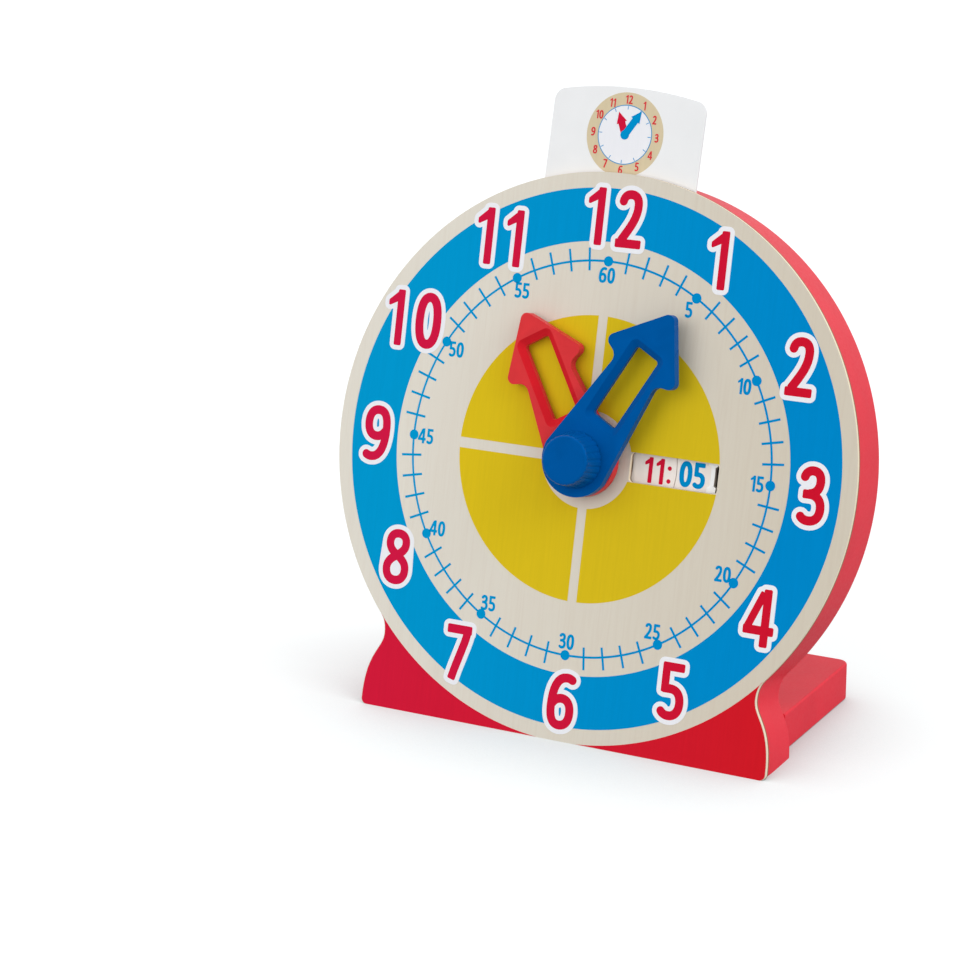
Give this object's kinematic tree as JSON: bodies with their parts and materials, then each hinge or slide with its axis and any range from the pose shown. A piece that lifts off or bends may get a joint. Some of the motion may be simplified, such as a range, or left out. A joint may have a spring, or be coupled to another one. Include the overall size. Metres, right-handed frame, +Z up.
{
  "type": "geared teaching clock",
  "caption": "Free-standing wooden teaching clock whose knob turns geared hands and two figure discs seen in a window, with a time card in a slot at the top.",
  "frame": {"origin": "middle of the underside of the foot block, on the table", "axes": "+X to the right as the face is read, +Y to the rear, +Z up; the face looks towards -Y and leans back 13.5 degrees"},
  "size_m": [0.2886, 0.128, 0.3231],
  "materials": {
    "face_wood": "printed plywood, satin",
    "red_paint": "satin paint on wood",
    "hardboard": "plain hardboard",
    "beech": "plain",
    "blue_plastic": "moulded",
    "red_plastic": "moulded",
    "white_plastic": "moulded",
    "gear_plastic": "moulded",
    "steel": "bright",
    "brass": "turned",
    "card": "printed, coated"
  },
  "bodies": {
    "case": {"front_board": "face_wood", "body_rim": "red_paint", "back_panel": "hardboard", "back_screw_1": "steel", "back_screw_2": "steel", "back_screw_3": "steel", "back_screw_4": "steel", "back_screw_5": "steel", "back_screw_6": "steel", "base_block": "red_paint", "base_dowel_left": "beech", "base_dowel_right": "beech", "hub_bush": "brass", "lay_stud": "steel", "spring_post": "beech", "click_spring": "steel"},
    "minute_arbor": {"minute_hand": "blue_plastic", "minute_knob": "blue_plastic", "minute_shaft": "steel", "cannon_pinion": "gear_plastic", "minute_disc": "white_plastic", "minute_cup": "white_plastic", "shaft_washer": "steel", "shaft_screw": "steel"},
    "hour_arbor": {"hour_hand": "red_plastic", "hour_tube": "brass", "hour_wheel": "gear_plastic"},
    "lay_shaft": {"front_pinion": "gear_plastic", "lay_wheel": "gear_plastic", "rear_pinion": "gear_plastic"},
    "hour_display": {"hour_disc": "white_plastic", "hour_drum": "white_plastic", "drum_gear": "gear_plastic"},
    "card": {"time_card": "card"}
  },
  "joints": [
    {"name": "minute_turn", "type": "hinge", "parent": "case", "child": "minute_arbor", "pos_m": [0, -0.04799, 0.14012], "axis": [0, 0.9724, -0.2334], "continuous": true, "deforming": ["click_spring"]},
    {"name": "hour_turn", "type": "hinge", "parent": "case", "child": "hour_arbor", "pos_m": [0, -0.04799, 0.14012], "axis": [0, 0.9724, -0.2334], "continuous": true},
    {"name": "lay_turn", "type": "hinge", "parent": "case", "child": "lay_shaft", "pos_m": [-0.016, -0.04799, 0.14012], "axis": [0, 0.9724, -0.2334], "continuous": true},
    {"name": "display_turn", "type": "hinge", "parent": "case", "child": "hour_display", "pos_m": [0, -0.04799, 0.14012], "axis": [0, 0.9724, -0.2334], "continuous": true},
    {"name": "card_lift", "type": "slide", "parent": "case", "child": "card", "axis": [0, 0.2334, 0.9724], "range_m": [0, 0.016]}
  ],
  "couplings": [
    {"joint": "hour_turn", "follows": "minute_turn", "ratio": 0.083333},
    {"joint": "lay_turn", "follows": "minute_turn", "ratio": -0.33333},
    {"joint": "display_turn", "follows": "minute_turn", "ratio": 0.083333}
  ]
}
